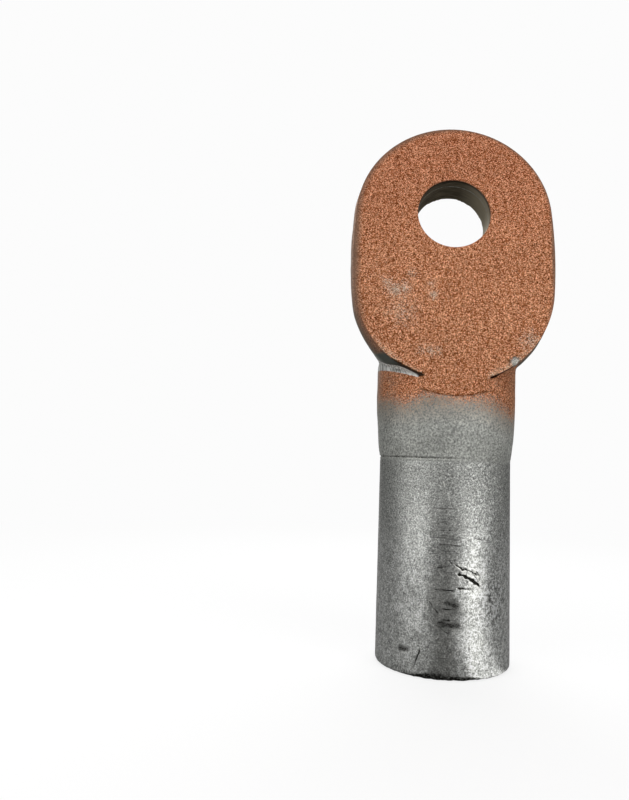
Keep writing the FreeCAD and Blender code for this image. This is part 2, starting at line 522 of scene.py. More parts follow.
    def ring_profile(self, angle: np.ndarray, height: np.ndarray) -> np.ndarray:
        """Give the ring mark's depth share, which fades to the side where the tool hardly cut.

        Args:
            angle: Angles of the places, in degrees.
            height: Heights of the places.

        Returns:
            The shares.
        """
        off_ring = height - self.ring_height
        cut = np.clip(1 - np.abs(off_ring) / self.ring_half_width, 0, 1)
        off_second = np.abs(off_ring + self.second_ring)
        second = 0.28 * np.clip(1 - off_second / self.second_half_width, 0, 1)
        turned_away = rise(np.abs(angle), 100, 140)
        facing = 0.05 + 0.95 * (1 - rise(angle, -22, 22))
        return np.maximum(cut, second) * (facing * (1 - turned_away) + 0.45 * turned_away)

    def refine_marks(self) -> None:
        """Split the faces near the marks, the ring mark and the burr into finer ones."""
        for finer in (1.0, 0.6):
            spots = places(self.piece.data.polygons, "center")
            angle = np.degrees(np.arctan2(spots[:, 0], -spots[:, 1]))
            height = spots[:, 2]
            outside = np.hypot(spots[:, 0], spots[:, 1]) > self.skin
            near = np.abs(height - self.ring_height + 0.2) < 0.8 * finer
            near |= (height < 1.4 * finer) & (np.abs(angle) < 65)
            for mark in self.marks:
                if finer == 1 or mark.wear is not Wear.RUB:
                    gap, _ = mark.closeness(angle, height, self.barrel_radius)
                    near |= gap < (mark.width / 2 + 0.4) * finer
            if finer < 1:
                near &= np.abs(height - self.ring_height) > 0.9
            subdivide_where(self.piece, near & outside)

    def cut_marks(self) -> None:
        """Press the ring mark, the cuts and the dents in, and raise the lips beside the tears."""
        self.refine_marks()
        angle, height, radius = self.round_barrel()
        outside = (radius > self.skin) & (height < self.barrel_top)
        sunk = self.ring_depth * self.ring_profile(angle, height)
        lips = np.zeros(len(angle))
        for mark in self.marks:
            pressed = mark.depth * mark.wear.pressed
            sunk = np.maximum(sunk, pressed * mark.profile(angle, height, self.barrel_radius))
            if mark.wear is Wear.TEAR:
                gap, share = mark.closeness(angle, height, self.barrel_radius)
                lip = np.exp(-((gap - mark.width / 2 - 0.15) / 0.18) ** 2)
                lips = np.maximum(lips, lip * rise(np.minimum(share, 1 - share), 0, 0.2))
        deepest = sunk.max()
        self.push("sunk", sunk / deepest * outside, -deepest)
        self.push("lips", lips * (sunk < 0.02) * outside, self.lip_height)

    def roughen_sawn_end(self) -> None:
        """Turn a ragged burr up round the sawn end."""
        angle, height, radius = self.round_barrel()
        edge = (1 - rise(height, 0.25, 1.0)) * rise(radius, 11.2, 12.0)
        ragged = 0.35 + 0.65 * np.exp(-((angle + 2) / 38) ** 2)
        self.push("burr", edge * ragged, *self.burr_waves)

    def thin_out(self) -> None:
        """Take faces away where the surface is flat, until few enough are left."""
        count = sum(len(face.vertices) - 2 for face in self.piece.data.polygons)
        if count > self.most_triangles:
            settings = {"decimate_type": "COLLAPSE", "ratio": self.most_triangles / count}
            finish_modifier(self.piece, "DECIMATE", settings)

    def record_wear(self) -> None:
        """Store on each vertex how dark, how bright and how burred the metal is, for its finish."""
        angle, height, radius = self.round_barrel()
        outside = (radius > self.skin) & (height < self.barrel_top)
        # The ring mark's dark is painted shade in its groove
        dark = 0.5 * rise(self.ring_profile(angle, height), 0.1, 0.8)
        bright = np.zeros(len(angle))
        across = np.radians(angle) * self.barrel_radius
        flakes = rise(wobble(across, height, 0.5, 4), -0.2, 0.35)
        patchy = np.clip(0.8 + 0.5 * wobble(across, height, 1.1, 5), 0.2, 1)
        # Tears and cuts darken with their depth: grime, and painted shade of the depth the mesh
        # leaves out
        for mark in self.marks:
            dirt_and_shade = mark.dirt_and_shade(angle, height, self.barrel_radius)
            if mark.wear is Wear.TEAR:
                gap, share = mark.closeness(angle, height, self.barrel_radius)
                half = mark.width / 2
                lip = (1 - rise(gap, half + 0.2, half + 0.75)) * rise(gap, half - 0.1, half)
                lip *= flakes * rise(np.minimum(share, 1 - share), 0.0, 0.1)
                dark = np.maximum(dark, min(1.0, mark.depth / 0.3) * dirt_and_shade)
                # A tear's lip is bright as torn metal and also as a painted highlight on the raised
                # lip
                bright = np.maximum(bright, lip)
            elif mark.wear is Wear.CUT:
                dark = np.maximum(dark, 0.85 * patchy * min(1.0, mark.depth / 0.13) * dirt_and_shade)
            else:
                shape = mark.profile(angle, height, self.barrel_radius)
                if mark.wear is Wear.RUB:
                    bright = np.maximum(bright, shape)
                else:
                    dark = np.maximum(dark, 0.62 * shape)
        ragged = 0.26 + 0.85 * np.exp(-((angle + 17) / 12) ** 2)
        ragged += 0.55 * np.exp(-((angle - 6) / 15) ** 2)
        ragged *= 1 + 0.3 * wobble(across, height, 1.4, 6) + 0.3 * wobble(across, height, 0.5, 7)
        burr = (1 - rise(height / ragged, 0.75, 1.15)) * (radius > 10.5)
        layer = self.piece.data.color_attributes.new(
            name="wear", type="FLOAT_COLOR", domain="POINT")
        colours = np.stack([dark * outside, bright * outside, burr, np.ones(len(angle))], axis=1)
        layer.data.foreach_set("color", colours.astype(np.float32).ravel())

    def build(self, source: bpy.types.Object) -> bpy.types.Object:
        """Make the dressed forging from the solid that it stands for.

        Args:
            source: The forging's solid.

        Returns:
            The dressed forging.
        """
        self.copy_forging(source)
        self.smooth_forging()
        self.wave_surface()
        self.cut_marks()
        self.roughen_sawn_end()
        self.thin_out()
        self.record_wear()
        self.piece.vertex_groups.clear()
        only(self.piece)
        bpy.ops.object.shade_smooth()
        return self.piece


class Fade(NamedTuple):
    """A share that goes from least to most while a measure goes from start to end.

    Both are in millimetres, unless the unit is 1 because the measure is an angle or a noise.
    """

    measure: str
    start: float
    end: float
    most: float = 1.0
    least: float = 0.0
    soft: bool = True
    unit: float = MM


class Gate(NamedTuple):
    """A share that is 1 on one side of an edge in millimetres, or with COMPARE near it."""

    measure: str
    side: str
    edge: float
    slack: float = 0.0


class Grain(NamedTuple):
    """A noise by the size of its lumps, or by how many of them a metre has along each axis."""

    size: float = 1.0
    detail: float = 2.0
    roughness: float = 0.5
    a_metre: tuple[float, float, float] | None = None


@dataclass
class Finish:
    """A finish under construction: its node tree, and the sockets that were named in it."""

    tree: bpy.types.NodeTree
    at: dict[str, bpy.types.NodeSocket] = field(default_factory=dict)

    @classmethod
    def start(cls, owner: bpy.types.Material | bpy.types.World) -> "Finish":
        """Start a finish that reads Object coordinates, or directions for the surroundings.

        Args:
            owner: The material or the surroundings that get the finish.

        Returns:
            The finish, with the coordinates named in it.
        """
        owner.use_nodes = True
        owner.node_tree.nodes.clear()
        made = cls(owner.node_tree)
        kind = "Generated" if isinstance(owner, bpy.types.World) else "Object"
        made.at["coords"] = made.add("TexCoord", out=kind)
        spot = made.add("SeparateXYZ", ("coords",), None)
        made.at.update(x=spot["X"], y=spot["Y"], z=spot["Z"])
        return made

    def add(
        self, kind: str, inputs: dict[int | str, Any] | tuple = (), out: int | str | None = 0,
        **settings: Any,
    ) -> Any:
        """Add a node with its settings and its input values or links.

        Args:
            kind: Blender's name of the node's type, without its first word.
            inputs: In order, or by the input's name or number: values, output sockets, names of
                sockets, or sRGB hex colours.
            out: The output to give, or None for all of them.
            settings: Attributes by name. The name stops sets a ramp's positions and colours.

        Returns:
            The output socket, or all of them.
        """
        made = self.tree.nodes.new("ShaderNode" + kind)
        stops = settings.pop("stops", ())
        for name, value in settings.items():
            setattr(made, name, value)
        for _ in stops[2:]:
            made.color_ramp.elements.new(0.5)
        for number, (place, tone) in enumerate(stops):
            element = made.color_ramp.elements[number]
            element.position = place
            element.color = linear(tone) if isinstance(tone, str) else (tone, tone, tone, 1)
        for name, value in inputs.items() if isinstance(inputs, dict) else enumerate(inputs):
            if isinstance(value, str):
                value = linear(value) if value.startswith("#") else self.at[value]
            if isinstance(value, bpy.types.NodeSocket):
                self.tree.links.new(value, made.inputs[name])
            else:
                made.inputs[name].default_value = value
        return made.outputs if out is None else made.outputs[out]

    def measure_turn(self) -> None:
        """Name the angle round from the contact side towards +X, in radians."""
        front = self.add("Math", ("y", -1.0), operation="MULTIPLY")
        self.at["turn"] = self.add("Math", ("x", front), operation="ARCTAN2")

    def measure_palm(self) -> None:
        """Name a point's position against the palm's plane, in metres.

        It is along and depth, and on the face the distances from the middle of the palm's round
        lower end, of the bolt hole and of the mill's last cut. Aside is how far it is off middle.
        """
        self.at["aside"] = self.distance("x", 0.0)
        root = self.add("VectorMath", ("coords", tuple(PALM.root * MM)), operation="SUBTRACT")
        for name, way in (("along", PALM.up), ("depth", PALM.inward)):
            self.at[name] = self.add(
                "VectorMath", (root, tuple(way)), "Value", operation="DOT_PRODUCT")
        self.at["on_face"] = self.add("CombineXYZ", ("x", "along"))
        centres = {"from_end": PALM.end_centre, "from_hole": PALM.hole_centre,
                   "from_cutter": PALM.cutter_centre}
        for name, height in centres.items():
            self.at[name] = self.distance("on_face", (0.0, height, 0.0))

    def distance(
        self, measure: Any, place: float | tuple[float, float, float],
    ) -> bpy.types.NodeSocket:
        """Give how far a measure is from a value, or a point from a place.

        Args:
            measure: Socket or name of the measure or the point, in metres.
            place: The value or the place, in millimetres.

        Returns:
            The distance in metres.
        """
        if isinstance(place, tuple):
            ends = (measure, tuple(value * MM for value in place))
            return self.add("VectorMath", ends, "Value", operation="DISTANCE")
        off = self.add("Math", (measure, -place * MM), operation="ADD")
        return self.add("Math", (off,), operation="ABSOLUTE")

    def name_all(self, rows: dict[str, Grain | Fade | Gate]) -> None:
        """Build the noises, fades and gates of a table in its order, and name their sockets.

        Args:
            rows: The noises, fades and gates by name.
        """
        for name, row in rows.items():
            if isinstance(row, Grain):
                vector, scale = self.at["coords"], 1000 / row.size
                if row.a_metre:
                    vector, scale = self.add("Mapping", {0: vector, "Scale": row.a_metre}), 1.0
                self.at[name] = self.add("TexNoise", {
                    "Vector": vector, "Scale": scale, "Detail": row.detail,
                    "Roughness": row.roughness})
            elif isinstance(row, Gate):
                ends = (row.measure, row.edge * MM, row.slack * MM)
                self.at[name] = self.add("Math", ends, operation=row.side)
            else:
                ends = (row.measure, row.start * row.unit, row.end * row.unit)
                self.at[name] = self.add(
                    "MapRange", (*ends, row.least, row.most),
                    interpolation_type="SMOOTHSTEP" if row.soft else "LINEAR")

    def uneven(self, value: Any, grain: str, spread: float) -> bpy.types.NodeSocket:
        """Make a value uneven.

        Args:
            value: The value's socket, or its name.
            grain: Name of the noise.
            spread: How much the noise moves the value, from its lows to its highs.

        Returns:
            The uneven value.
        """
        off = self.add("Math", (grain, spread, -spread / 2), operation="MULTIPLY_ADD")
        return self.add("Math", (value, off), operation="ADD")

    def all_of(self, first: Any, *rest: Any) -> bpy.types.NodeSocket:
        """Give how far all the shares hold together.

        Args:
            first: A share's socket, name or value.
            rest: The other shares.

        Returns:
            Their product.
        """
        for share in rest:
            first = self.add("Math", (first, share), operation="MULTIPLY")
        return first

    def lay(self, under: Any, *coats: tuple[Any, Any], blend: str = "MIX") -> bpy.types.NodeSocket:
        """Lay coats over a colour, one after the other.

        Args:
            under: The colour.
            coats: The share that a coat covers, and its colour.
            blend: Blender's name of how each coat covers the one under it.

        Returns:
            The colour with the coats on it.
        """
        for share, tone in coats:
            under = self.add(
                "Mix", {0: share, 6: under, 7: tone}, 2, data_type="RGBA", blend_type=blend)
        return under

    def tint(self, under: Any, share: Any, grain: str, stops: Iterable) -> bpy.types.NodeSocket:
        """Darken and lighten a colour by a noise.

        Args:
            under: The colour.
            share: How far the noise shows.
            grain: Name of the noise.
            stops: Levels of the noise and their factors.

        Returns:
            The tinted colour.
        """
        tone = self.add("ValToRGB", (grain,), stops=stops)
        return self.lay(under, (share, tone), blend="MULTIPLY")


@dataclass(frozen=True)
class Nick:
    """The nick in the palm's low right edge, where a blow bared the metal."""

    centre: tuple[float, float, float] = (11.0, 4.6, 0.0)
    stops: tuple[tuple[float, str], ...] = ((0.42, "#6E6A62"), (0.56, "#F4F2EC"))
    outline: str = "#6A5444"
    ragged: float = 3.0

    def strike(self, skin: Finish, under: Any, grain: str) -> bpy.types.NodeSocket:
        """Lay the nick over a colour.

        Args:
            skin: The finish that gets the nick.
            under: The colour round the nick.
            grain: Name of the noise that breaks the nick's outline.

        Returns:
            The colour with the nick in it.
        """
        away = skin.distance("on_face", self.centre)
        skin.at["from_nick"] = skin.uneven(away, grain, self.ragged * MM)
        skin.name_all({
            "nick_outline": Fade("from_nick", 0.72, 0.888),
            "nick_inside": Fade("from_nick", 1.0, 0.85),
            "nick_depth": Gate("depth", "LESS_THAN", 1.4),
        })
        torn = skin.add("ValToRGB", (grain,), stops=self.stops)
        struck = skin.lay(torn, ("nick_outline", self.outline))
        return skin.lay(under, (skin.all_of("nick_inside", "nick_depth"), struck))


@dataclass(frozen=True)
class SprayedCopper:
    """Thermally sprayed copper, as it lands from the arc.

    Its flat splats of many shades make it coarse and matt. In a few places it is worn grey.
    """

    pit: str = "#4F2712"
    dark: str = "#975A38"
    middle: str = "#C37E57"
    light: str = "#FCC7A0"
    # Painted shade towards the palm's top
    top_shade: str = "#F0E7E6"
    worn: str = "#E8D9C8"
    worn_pit: str = "#8F7460"
    rim: str = "#7A6355"
    speck: str = "#F3DFC6"
    # Painted shade of the palm's wall, in a wedge above the low left slit
    wedge_shade: str = "#3A2C22"
    # A real splat is about 0.1 mm across, and is drawn a little coarser so that it shows
    splat: float = 0.132
    roughness: float = 0.62
    relief: float = 0.09
    uneven_edge: float = 0.6
    worn_places: tuple[tuple[float, float, float, float], ...] = (
        (-12.6, 70.0, 1.2, 0.8), (-11.1, 68.6, 1.7, 1.0), (-9.4, 69.0, 1.4, 0.8),
        (-9.6, 64.4, 2.6, 0.55), (-8.0, 71.9, 1.0, 0.6), (-4.3, 70.1, 0.8, 0.6),
        (-3.9, 67.9, 0.9, 1.0), (-6.0, 57.4, 0.9, 0.6), (-4.5, 57.1, 1.0, 0.75),
        (-3.0, 57.3, 0.8, 0.55), (13.8, 59.7, 1.9, 0.75),
    )

    def splats(self, skin: Finish) -> tuple[bpy.types.NodeSocket, bpy.types.NodeSocket]:
        """Build the pattern of splats, each with its own shade and height.

        Args:
            skin: The finish that gets the pattern.

        Returns:
            The copper's colour, and the height of its surface from 0 to 1.
        """
        skin.name_all({"spatter": Grain(self.splat, roughness=0.55)})
        cells = skin.add("TexVoronoi", {
            "Vector": "coords", "Scale": 1000 / self.splat, "Randomness": 1.0}, "Color")
        shade = skin.add("SeparateColor", (cells,), "Red")
        height = skin.add("Mix", {0: 0.52, 2: "spatter", 3: shade})
        stops = ((0.25, self.pit), (0.41, self.dark), (0.55, self.middle), (0.71, self.light))
        return skin.add("ValToRGB", (height,), stops=stops), height

    def wear_off(self, skin: Finish) -> bpy.types.NodeSocket:
        """Give how far the copper is rubbed down to the grey metal between its highest splats.

        Args:
            skin: The finish that gets it.

        Returns:
            The share of grey metal.
        """
        flat = skin.add("CombineXYZ", {"X": "x", "Z": "z"})
        worn = 0.0
        for x, z, size, most in self.worn_places:
            place = (flat, (x * MM, 0.0, z * MM))
            away = skin.add("VectorMath", place, "Value", operation="DISTANCE")
            near = skin.add("MapRange", (away, size * 1.5 * MM, 0.0, 0.0, most))
            worn = skin.add("Math", (worn, near), operation="MAXIMUM")
        skin.at["rubbed"] = skin.uneven(worn, "grains", 3.4)
        skin.name_all({"bared": Fade("rubbed", 0.3, 0.9, 0.85, unit=1)})
        return skin.all_of("bared", skin.add("Math", (worn, 0.02), operation="GREATER_THAN"))

    def dark_rim(self, skin: Finish) -> bpy.types.NodeSocket:
        """Give how far the layer is darkened in the last half millimetre before the palm's edge.

        Args:
            skin: The finish that gets it.

        Returns:
            The share of the darker rim.
        """
        past_middle = skin.distance("along", 26.05)
        past = skin.add("Math", (past_middle, 6.75 * MM), operation="SUBTRACT")
        beyond = skin.add("Math", (past, 0.0), operation="MAXIMUM")
        spine = skin.add("CombineXYZ", ("x", beyond))
        from_spine = skin.add("VectorMath", (spine,), "Value", operation="LENGTH")
        edge = skin.uneven(from_spine, "grains", self.uneven_edge * MM)
        skin.name_all({
            "rim_from": Fade("x", -9.0, 4.0, 18.05 * MM, 17.3 * MM, soft=False),
            "on_palm": Fade("along", 9.0, 16.0, soft=False),
        })
        rim = skin.add("MapRange", (edge, "rim_from", 18.9 * MM, 0.0, 0.85),
                       interpolation_type="SMOOTHSTEP")
        return skin.all_of(rim, "on_palm")

    def break_low_edge(self, skin: Finish) -> tuple[bpy.types.NodeSocket, ...]:
        """Give how far the low edge is chipped, and where it is painted with shadow and shade.

        It is chipped into light specks. The run-out ends in a thin dark line of painted shadow
        under the coat's edge. A wedge above the low left slit is painted dark, as the shade of the
        palm's wall there.

        Args:
            skin: The finish that gets it.

        Returns:
            The shares of the specks, the line and the wedge.
        """
        spread = self.uneven_edge * MM
        skin.at["ragged_end"] = skin.uneven("from_end", "grains", spread)
        skin.at["ragged_cutter"] = skin.uneven("from_cutter", "grains", spread)
        skin.name_all({
            "wedge_from": Fade("x", -13.5, -9.0, 18.3 * MM, 18.9 * MM),
            "leftward": Fade("x", -5.3, -5.8, soft=False),
            "low_down": Gate("along", "LESS_THAN", 8.0),
            "above_tip": Gate("along", "GREATER_THAN", 1.35),
            "chipped": Fade("ragged_end", 17.6, 18.4, 0.8),
            "chips": Fade("grains", 0.5, 0.62, soft=False, unit=1),
            "low_rim": Fade("along", 10.0, 6.0, soft=False),
            "beside_slits": Gate("aside", "GREATER_THAN", 6.0),
            # A thin dark line where the run-out ends: painted shadow under the coat's edge
            "line": Fade("ragged_cutter", 15.6, 15.85, 0.7, soft=False),
            "below": Gate("along", "LESS_THAN", -0.9),
        })
        # The wedge is painted shade, where the palm's wall lies in shadow below the coat
        past = skin.add("Math", ("ragged_end", "wedge_from"), operation="SUBTRACT")
        wedge = skin.add("MapRange", (past, 0.0, 0.12 * MM))
        return (
            skin.all_of("chipped", "chips", "low_rim", "above_tip", "beside_slits"),
            skin.all_of("line", "below"),
            skin.all_of(wedge, "leftward", "low_down", "above_tip"),
        )

    def make(self) -> bpy.types.Material:
        """Build the material.

        Returns:
            The material, which reads Object coordinates in metres.
        """
        # Melted drops froze into flat splats, so the layer looks coarse, matt and many-shaded
        material = bpy.data.materials.new("sprayed_copper")
        skin = Finish.start(material)
        skin.measure_palm()
        skin.name_all({"grains": Grain(self.splat * 1.4), "drift": Grain(7.0)})
        skin.name_all({"to_top": Fade("z", 68.0, 98.0)})
        colour, height = self.splats(skin)
        colour = skin.tint(colour, 1.0, "drift", ((0.3, 0.97), (0.7, 1.03)))
        # The copper is darkened towards the top as painted shade, evening out the stronger light
        # there
        colour = skin.lay(colour, ("to_top", self.top_shade), blend="MULTIPLY")
        metal = skin.add("ValToRGB", (height,), stops=((0.38, self.worn_pit), (0.62, self.worn)))
        chipped, line, wedge = self.break_low_edge(skin)
        colour = skin.lay(
            colour, (self.wear_off(skin), metal), (self.dark_rim(skin), self.rim),
            (chipped, self.speck), (line, self.pit), (wedge, self.wedge_shade))
        bump = skin.add("Bump", {"Strength": 0.9, "Distance": self.relief * MM, "Height": height})
        shader = skin.add("BsdfPrincipled", {
            "Base Color": Nick().strike(skin, colour, "grains"), "Metallic": 1.0,
            "Roughness": self.roughness, "Normal": bump})
        skin.add("OutputMaterial", {"Surface": shader}, None)
        return material


@dataclass(frozen=True)
class BlastedForging:
    """Shot-blasted forged aluminium, with a smoother turned barrel and stray copper spray.

    Blasting leaves dimples of about the shot's size, which catch the light one by one and make
    the grey look peppered; the pepper's lightest specks are painted glints of them. The handled
    barrel is smoother, so that it mirrors broad bands.
    """

    grey: str = "#BCBDB8"
    dull_grey: str = "#ADAEA9"
    bar_grey: str = "#D6D7D3"
    bar_dull: str = "#B4B5B1"
    # Dark of the cuts, ring mark and burr: grime, with painted shade in the cuts and the ring mark
    dirt_and_shade: str = "#2A2925"
    # Grime, and a painted dark reflection, down the barrel's middle
    grime_and_reflection_grey: str = "#8A8984"
    bright: str = "#F2F2EC"
    hole_brown: str = "#8F846E"
    hole_dark: str = "#453F34"
    hole_pale: str = "#BDB4A0"
    # Painted shade of the palm's low wall
    shaded_wall_grey: str = "#6C7069"
    # Brown of the painted shadows at the slits and the low wall's tip, and of the hole's dark mouth
    slit_brown: str = "#2E1E14"
    streak_dark: str = "#8E8A82"
    streak_bright: str = "#FBFAF6"
    dusty: str = "#B8956F"
    # These three multiply a colour as linear factors and can go past 1, so they aren't hex
    die_smooth: tuple[float, ...] = (0.95, 0.97, 0.95, 1.0)
    rub_and_highlight_gain: tuple[float, ...] = (1.3, 1.3, 1.28, 1.0)
    stray_bright: tuple[float, ...] = (1.16, 1.15, 1.15, 1.0)
    copper: SprayedCopper = SprayedCopper()
    # The shot's dimples are about 0.1 to 0.2 mm across, and are drawn coarser so that they show
    grit: float = 0.34
    fine: float = 0.238
    relief: float = 0.06
    fold: tuple[float, float, float] = (0.0, -2.92, 58.62)
    shoulder_way: tuple[float, float, float] = (0.0, 0.5, 0.866)
    pit_centre: tuple[float, float, float] = (7.6, -9.9, 13.0)
    head_roughness: float = 0.72
    bar_top_roughness: float = 0.56
    bar_roughness: float = 0.33
    hole_roughness: float = 0.85

    def blast(self, skin: Finish) -> bpy.types.NodeSocket:
        """Give the blasted grey with its pepper of dimples.

        The shoulder's slope was pressed by the smooth part of the die and shows hardly any grit.

        Args:
            skin: The finish that gets it.

        Returns:
            The grey of the whole forging.
        """
        off = skin.add(
            "VectorMath", ("coords", tuple(value * MM for value in self.fold)),
            operation="SUBTRACT")
        slope = skin.add(
            "VectorMath", (off, self.shoulder_way), "Value", operation="DOT_PRODUCT")
        skin.at["off_shoulder"] = skin.distance(slope, 0.0)
        skin.name_all({
            "on_bar": Fade("z", 37.7, 36.8),
            "handled": Fade("z", 36.0, 17.0),
            "on_shoulder": Fade("off_shoulder", 0.9, 0.3),
            "behind_palm": Fade("y", -2.5, -1.0, 0.62, soft=False),
        })
        head = skin.add("ValToRGB", ("mottle",), stops=((0.35, self.dull_grey), (0.65, self.grey)))
        bar = skin.lay(self.bar_dull, ("handled", self.bar_grey))
        head_pepper = skin.add("ValToRGB", ("grit",), stops=((0.3, 0.5), (0.5, 1.0), (0.7, 1.6)))
        # The barrel's pepper lifts its lightest specks to 2.6 times the grey, as painted glints
        bar_pepper = skin.add("ValToRGB", ("fine",), stops=(
            (0.28, 0.25), (0.5, 0.93), (0.66, 1.6), (0.74, 2.6)))
        pepper = skin.lay(
            head_pepper, ("on_bar", bar_pepper),
            (skin.all_of("on_shoulder", "behind_palm"), self.die_smooth))
        return skin.lay(skin.lay(head, ("on_bar", bar)), (1.0, pepper), blend="MULTIPLY")

    def handle_barrel(self, skin: Finish, colour: bpy.types.NodeSocket) -> bpy.types.NodeSocket:
        """Lay over the colour what handling left on the barrel.

        It is patchy at about a millimetre, with thin lines drawn across it. A grey band down the
        middle of the contact side, strongest low down, is grime where it was knocked and gripped,
        and also a painted dark reflection. Fine scratches run over the gripped strip's upper half.
        The right side gets a coarser pepper, which is wear and also painted sparkle. Low down on it
        a stripe is painted brighter, a rubbed polish and also a painted highlight. There is also a
        pitted patch.

        Args:
            skin: The finish that gets it.
            colour: The colour under it.

        Returns:
            The colour with it on.
        """
        skin.measure_turn()
        at = skin.at
        waves = skin.add("Math", ("mottle", 0.5, -0.25), operation="MULTIPLY_ADD")
        for name, turn in (("ragged_middle", 0.1), ("ragged_stripe", -0.31)):
            off = skin.add("Math", ("turn", turn), operation="ADD")
            off = skin.add("Math", (off,), operation="ABSOLUTE")
            at[name] = skin.add("Math", (off, waves), operation="ADD")
        at["off_scratches"] = skin.distance("z", 23.0)
        at["from_pits"] = skin.distance("coords", self.pit_centre)
        skin.name_all({
            "to_front": Fade("y", 6.0, -4.0, least=0.3),
            "middle": Fade("ragged_middle", 0.3, 0.05, unit=1),
            "grime_and_reflection_down": Fade("z", 37.0, 16.0, 0.45),
            "mid_height": Fade("off_scratches", 8.0, 3.5),
            "gripped": Fade("ragged_middle", 0.42, 0.12, unit=1),
            "to_right": Fade("turn", 0.0, 0.3, 0.8, unit=1),
            "stripe": Fade("ragged_stripe", 0.2, 0.02, 0.9, unit=1),
            "stripe_down": Fade("z", 25.0, 19.0),
            "pitted": Fade("from_pits", 5.2, 2.2, 0.9),
        })
        patched = skin.all_of("on_bar", "handled", "to_front")
        colour = skin.tint(colour, patched, "lumps", ((0.36, 0.72), (0.64, 1.25)))
        lined = skin.all_of("on_bar", 0.8)
        colour = skin.tint(colour, lined, "lines", ((0.28, 0.7), (0.4, 1.0)))
        # The grey band down the middle is grime and also a painted dark reflection
        colour = skin.lay(colour, (skin.all_of("middle", "grime_and_reflection_down"), self.grime_and_reflection_grey))
        scratched = skin.all_of("mid_height", "gripped")
        colour = skin.tint(colour, scratched, "scratches", ((0.34, 0.45), (0.44, 1.0)))
        # The right side's coarser pepper is wear and also painted sparkle where the key lamp's
        # highlight falls
        coarse = skin.all_of("to_right", "to_front", "on_bar")
        colour = skin.tint(colour, coarse, "coarse", ((0.36, 0.6), (0.5, 1.0), (0.64, 1.5)))
        # The stripe is painted brighter where the key lamp's highlight falls low down: a rubbed
        # polish and also a painted highlight
        stripe = skin.all_of("stripe", "stripe_down")
        colour = skin.lay(colour, (stripe, self.rub_and_highlight_gain), blend="MULTIPLY")
        return skin.tint(colour, "pitted", "pits", ((0.4, 0.4), (0.5, 1.0), (0.6, 1.8)))

    def mark_barrel(self, skin: Finish, colour: bpy.types.NodeSocket) -> bpy.types.NodeSocket:
        """Lay over the colour the dark cuts and ring mark, the bright torn lips and the dark burr.

        Args:
            skin: The finish that gets it.
            colour: The colour under it.

        Returns:
            The colour with it on.
        """
        wear = skin.add("VertexColor", out="Color", layer_name="wear")
        worn = skin.add("SeparateColor", (wear,), None)
        skin.at.update(cut=worn["Red"], lip=worn["Green"], burr=worn["Blue"])
        skin.at["broken_cut"] = skin.uneven("cut", "fine", 1.6)
        skin.at["broken_lip"] = skin.uneven("lip", "fine", -1.6)
        skin.name_all({
            "dirt_full": Fade("broken_cut", 0.2, 0.8, unit=1),
            "dirt_and_shade_near": Fade("cut", 0.0, 0.3, soft=False, unit=1),
            "flakes": Fade("broken_lip", 0.35, 0.75, unit=1),
            "burr_grit": Fade("grit", 0.45, 0.7, 0.55, 1.0, soft=False, unit=1),
        })
        # The cuts' dark is grime and painted shade of their depth, and the ring mark's is painted
        # shade
        return skin.lay(
            colour, (skin.all_of("flakes", "lip"), self.bright),
            (skin.all_of("dirt_full", "dirt_and_shade_near"), self.dirt_and_shade),
            (skin.all_of("burr", "burr_grit"), self.dirt_and_shade))

    def drill_hole(self, skin: Finish, colour: bpy.types.NodeSocket) -> bpy.types.NodeSocket:
        """Lay the hole's olive brown wall over the colour, with a pale line of rubbed burr.

        Args:
            skin: The finish that gets it.
            colour: The colour under it.

        Returns:
            The colour with it on.
        """
        rings = skin.add("VectorMath", (
            skin.add("CombineXYZ", ("depth", "x", "z")), (2000.0, 330.0, 330.0)),
            operation="MULTIPLY")
        rings = skin.add("TexNoise", {
            "Vector": rings, "Scale": 1.0, "Detail": 3.0, "Roughness": 0.65})
        skin.name_all({
            "in_hole": Gate("from_hole", "LESS_THAN", 7.25),
            "wall_line": Gate("depth", "COMPARE", 2.7, 0.14),
            "right_side": Fade("x", 1.0, 6.0, 0.75),
            "mouth": Fade("depth", 1.4, 0.5, 0.6),
        })
        skin.at["wall_grit"] = skin.all_of("wall_line", "grit")
        skin.name_all({"pale_line": Fade("wall_grit", 0.35, 0.6, 0.8, soft=False, unit=1)})
        wall = skin.lay(
            skin.add("ValToRGB", (rings,), stops=((0.25, self.hole_dark), (0.8, self.hole_brown))),
            ("right_side", self.hole_pale), ("mouth", self.slit_brown), ("pale_line", self.grey))
        return skin.lay(colour, ("in_hole", wall))

    def paint_low_wall_shade(self, skin: Finish, colour: bpy.types.NodeSocket) -> bpy.types.NodeSocket:
        """Lay painted shade over the smooth skin of the palm's low wall, browner to the slit's tip.

        Args:
            skin: The finish that gets it.
            colour: The colour under it.

        Returns:
            The colour with it on.
        """
        skin.name_all({
            "off_palm": Gate("from_end", "GREATER_THAN", 19.45),
            "low_end": Fade("along", 21.0, 6.0),
            "above_fold": Fade("depth", 7.4, 4.6),
            "shadow_to_tip": Fade("along", 4.6, 2.2, 0.95),
        })
        low_wall = skin.add("Math", ("low_end", "off_palm"), operation="SUBTRACT", use_clamp=True)
        # The low wall's grey is painted shade, turning to a brown painted shadow at the slit's tip
        wall = skin.lay(self.shaded_wall_grey, ("shadow_to_tip", self.slit_brown))
        return skin.lay(colour, (skin.all_of(low_wall, "above_fold"), wall))

